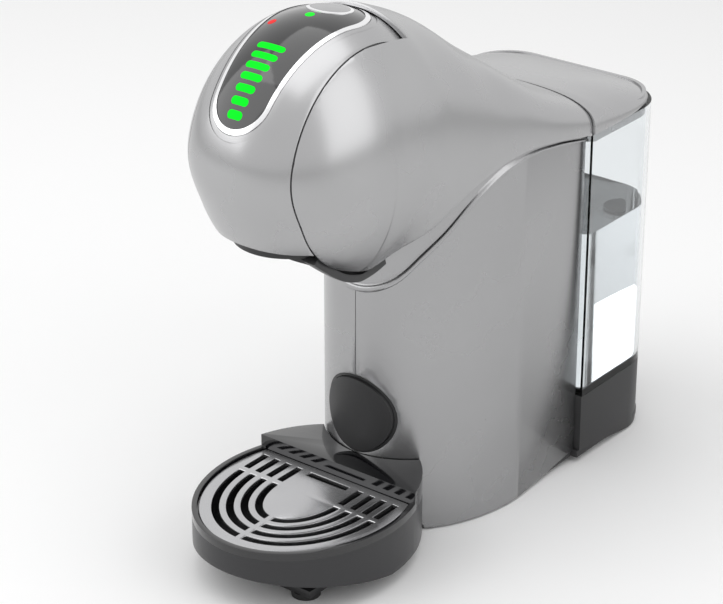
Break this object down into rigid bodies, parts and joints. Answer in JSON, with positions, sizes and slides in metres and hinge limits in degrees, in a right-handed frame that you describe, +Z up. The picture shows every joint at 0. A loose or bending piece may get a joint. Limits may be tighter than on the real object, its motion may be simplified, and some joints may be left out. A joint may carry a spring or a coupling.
{
  "type": "pod coffee machine",
  "caption": "Compact pod coffee machine: ball-shaped head with a lift-up visor and touch panel, curved column, lift-off clear water tank and slide-out drip tray.",
  "frame": {"origin": "middle of the footprint, on the table", "axes": "-Y is the front, +X the machine's right-hand side as seen from behind it, +Z is up"},
  "size_m": [0.112, 0.29, 0.2733],
  "materials": {
    "satin_silver": "satin metallic lacquer on moulded plastic",
    "column_silver": "darker satin metallic lacquer on moulded plastic",
    "bezel_silver": "satin metallic lacquer",
    "bright_trim": "chromed plastic, bright",
    "panel_black": "gloss black touch panel",
    "dark_plastic": "fine-textured dark grey moulding",
    "inner_plastic": "plain dark moulding, not seen closed",
    "button_metal": "spun metallic face",
    "green_light": "lit lens, green",
    "red_light": "lit lens, red",
    "clear_tank": "clear smoked moulding",
    "grid_silver": "bright silver lacquer on moulded plastic",
    "foot_rubber": "matt rubber",
    "seal_rubber": "soft silicone rubber",
    "hose_silicone": "milky silicone hose",
    "screw_steel": "zinc-plated",
    "needle_steel": "polished stainless",
    "heater_metal": "die cast",
    "board_green": "coated circuit board",
    "parts_black": "moulded component cases"
  },
  "bodies": {
    "machine_body": {"base_plate": "dark_plastic", "rubber_feet": "foot_rubber", "base_screws": "screw_steel", "chassis": "inner_plastic", "column_left_shell": "column_silver", "column_right_shell": "column_silver", "neck_collar": "column_silver", "upper_shell": "satin_silver", "visor_pivots": "screw_steel", "outlet_cover": "dark_plastic", "brew_frame": "inner_plastic", "tool_socket": "dark_plastic", "pump_body": "parts_black", "pump_mount": "foot_rubber", "flow_meter": "inner_plastic", "heater_block": "heater_metal", "heater_bracket": "inner_plastic", "thermostats": "parts_black", "board_standoffs": "parts_black", "control_board": "board_green", "board_parts": "parts_black", "tank_base": "dark_plastic", "tank_seal": "seal_rubber", "cord_gland": "foot_rubber", "tank_hose": "hose_silicone", "meter_hose": "hose_silicone", "pump_hose": "hose_silicone", "feed_hose": "hose_silicone"},
    "visor": {"visor_shell": "satin_silver", "visor_liner": "inner_plastic", "panel_bezel": "bezel_silver", "panel_trim": "bright_trim", "touch_panel": "panel_black", "button_ring": "bright_trim", "level_bars": "green_light", "red_status_light": "red_light", "green_status_light": "green_light", "touch_board": "board_green"},
    "needle_press": {"needle_carriage": "inner_plastic", "needle": "needle_steel", "capsule_seal": "seal_rubber"},
    "start_button": {"start_button": "button_metal"},
    "capsule_holder": {"capsule_holder": "dark_plastic"},
    "water_tank": {"water_tank": "clear_tank"},
    "tank_valve": {"tank_valve": "dark_plastic"},
    "tank_lid": {"tank_lid": "satin_silver"},
    "drip_tray": {"drip_tray": "dark_plastic"},
    "drip_grid": {"drip_grid": "grid_silver"},
    "rinsing_tool": {"rinsing_tool": "dark_plastic"},
    "pump_plunger": {"pump_plunger": "needle_steel"},
    "flow_rotor": {"flow_rotor": "inner_plastic"}
  },
  "joints": [
    {"name": "visor_hinge", "type": "hinge", "parent": "machine_body", "child": "visor", "pos_m": [0, -0.075, 0.208], "axis": [-1, 0, 0], "range_deg": [0, 65]},
    {"name": "start_button_press", "type": "slide", "parent": "visor", "child": "start_button", "axis": [0, -0.1564, -0.9877], "range_m": [0, 0.0012], "stiffness_N_per_m": 600},
    {"name": "capsule_holder_slide", "type": "slide", "parent": "machine_body", "child": "capsule_holder", "axis": [0, -1, 0], "range_m": [0, 0.039]},
    {"name": "needle_press_slide", "type": "slide", "parent": "machine_body", "child": "needle_press", "axis": [0, 0, 1], "range_m": [0, 0.008]},
    {"name": "water_tank_lift", "type": "slide", "parent": "machine_body", "child": "water_tank", "axis": [0, 0, 1], "range_m": [0, 0.15]},
    {"name": "tank_lid_lift", "type": "slide", "parent": "water_tank", "child": "tank_lid", "axis": [0, 0, 1], "range_m": [0, 0.03]},
    {"name": "tank_valve_lift", "type": "slide", "parent": "water_tank", "child": "tank_valve", "axis": [0, 0, 1], "range_m": [0, 0.003], "stiffness_N_per_m": 150},
    {"name": "drip_tray_slide", "type": "slide", "parent": "machine_body", "child": "drip_tray", "axis": [0, -1, 0], "range_m": [0, 0.07]},
    {"name": "drip_grid_lift", "type": "slide", "parent": "drip_tray", "child": "drip_grid", "axis": [0, 0, 1], "range_m": [0, 0.03]},
    {"name": "rinsing_tool_pull", "type": "slide", "parent": "machine_body", "child": "rinsing_tool", "axis": [0, -1, 0], "range_m": [0, 0.022]},
    {"name": "pump_plunger_stroke", "type": "slide", "parent": "machine_body", "child": "pump_plunger", "axis": [0, 0, 1], "range_m": [-0.003, 0.003], "stiffness_N_per_m": 500},
    {"name": "flow_rotor_spin", "type": "hinge", "parent": "machine_body", "child": "flow_rotor", "pos_m": [0.024, 0.03, 0.0146], "axis": [0, 0, 1], "continuous": true}
  ],
  "couplings": [
    {"joint": "capsule_holder_slide", "follows": "visor_hinge", "m_per_rad": 0.034377},
    {"joint": "needle_press_slide", "follows": "visor_hinge", "m_per_rad": 0.00705}
  ]
}
